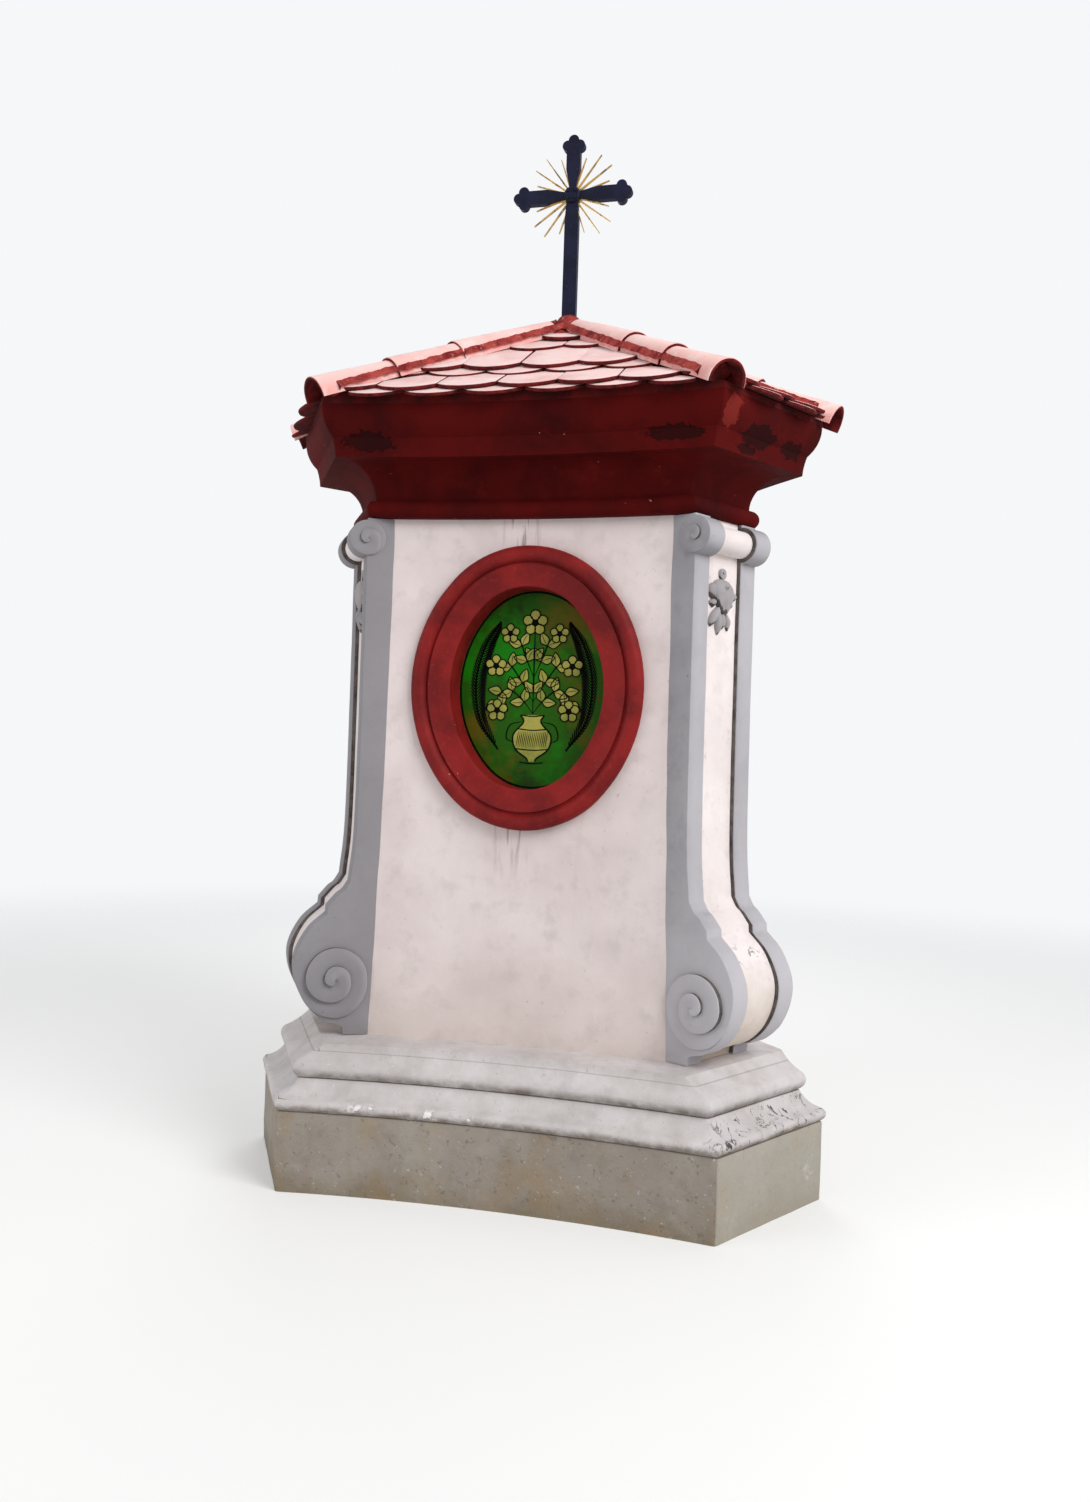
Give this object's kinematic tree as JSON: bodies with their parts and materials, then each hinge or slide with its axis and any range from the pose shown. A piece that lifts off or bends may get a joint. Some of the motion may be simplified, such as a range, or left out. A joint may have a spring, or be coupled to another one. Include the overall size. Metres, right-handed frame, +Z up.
{
  "type": "wayside shrine",
  "caption": "Wayside shrine on a triangular plan: rendered walls with oval picture niches, scroll-footed corner pilasters, moulded cornice, tiled hipped roof and an iron cross.",
  "frame": {"origin": "on the upright axis of the shrine, at the foot of the plinth", "axes": "+Z up, front wall facing -Y, +X to the viewer's right"},
  "size_m": [1.9752, 1.7375, 3.6169],
  "materials": {
    "plinth_render": "grey cement render, stained brown near the ground",
    "base_render": "pale grey painted render with peeling and black lichen",
    "wall_render": "pinkish off-white painted render",
    "grey_render": "blue-grey masonry paint",
    "cream_render": "cream masonry paint",
    "ornament_grey": "grey painted stucco",
    "frame_red": "red masonry paint on moulded render",
    "picture_glass": "opaque painted glass panel",
    "cornice_red": "dark red masonry paint",
    "roof_core": "mortar and boarding under the tiles",
    "roof_tile": "red painted clay tile",
    "hip_tile": "red painted clay hip tile",
    "mortar": "lime mortar",
    "cross_iron": "dark blue paint on wrought iron",
    "gilt": "gilded iron"
  },
  "bodies": {
    "root": {"plinth": "plinth_render", "lower_base_moulding": "base_render", "upper_base_moulding": "base_render", "body": "wall_render", "wall_front": "wall_render", "wall_rear_right": "wall_render", "wall_rear_left": "wall_render", "scroll_right_a": "grey_render", "scroll_right_b": "grey_render", "panel_right": "cream_render", "ornament_right": "ornament_grey", "scroll_rear_a": "grey_render", "scroll_rear_b": "grey_render", "panel_rear": "cream_render", "ornament_rear": "ornament_grey", "scroll_left_a": "grey_render", "scroll_left_b": "grey_render", "panel_left": "cream_render", "ornament_left": "ornament_grey", "oval_frame_front": "frame_red", "oval_frame_rear_right": "frame_red", "oval_frame_rear_left": "frame_red", "picture_front": "picture_glass", "picture_rear_right": "picture_glass", "picture_rear_left": "picture_glass", "cornice_bead": "cornice_red", "cornice_cavetto": "cornice_red", "cornice_fascia": "cornice_red", "cornice_cove": "cornice_red", "roof_deck": "roof_core", "roof_slope_front": "roof_tile", "roof_slope_rear_right": "roof_tile", "roof_slope_rear_left": "roof_tile", "roof_slope_corner_right": "roof_tile", "roof_slope_corner_rear": "roof_tile", "roof_slope_corner_left": "roof_tile", "hip_tiles_right": "hip_tile", "hip_tiles_rear": "hip_tile", "hip_tiles_left": "hip_tile", "roof_cap": "mortar", "cross_shaft": "cross_iron", "cross_arms": "cross_iron", "cross_boss": "cross_iron", "cross_rays": "gilt"}
  },
  "joints": []
}
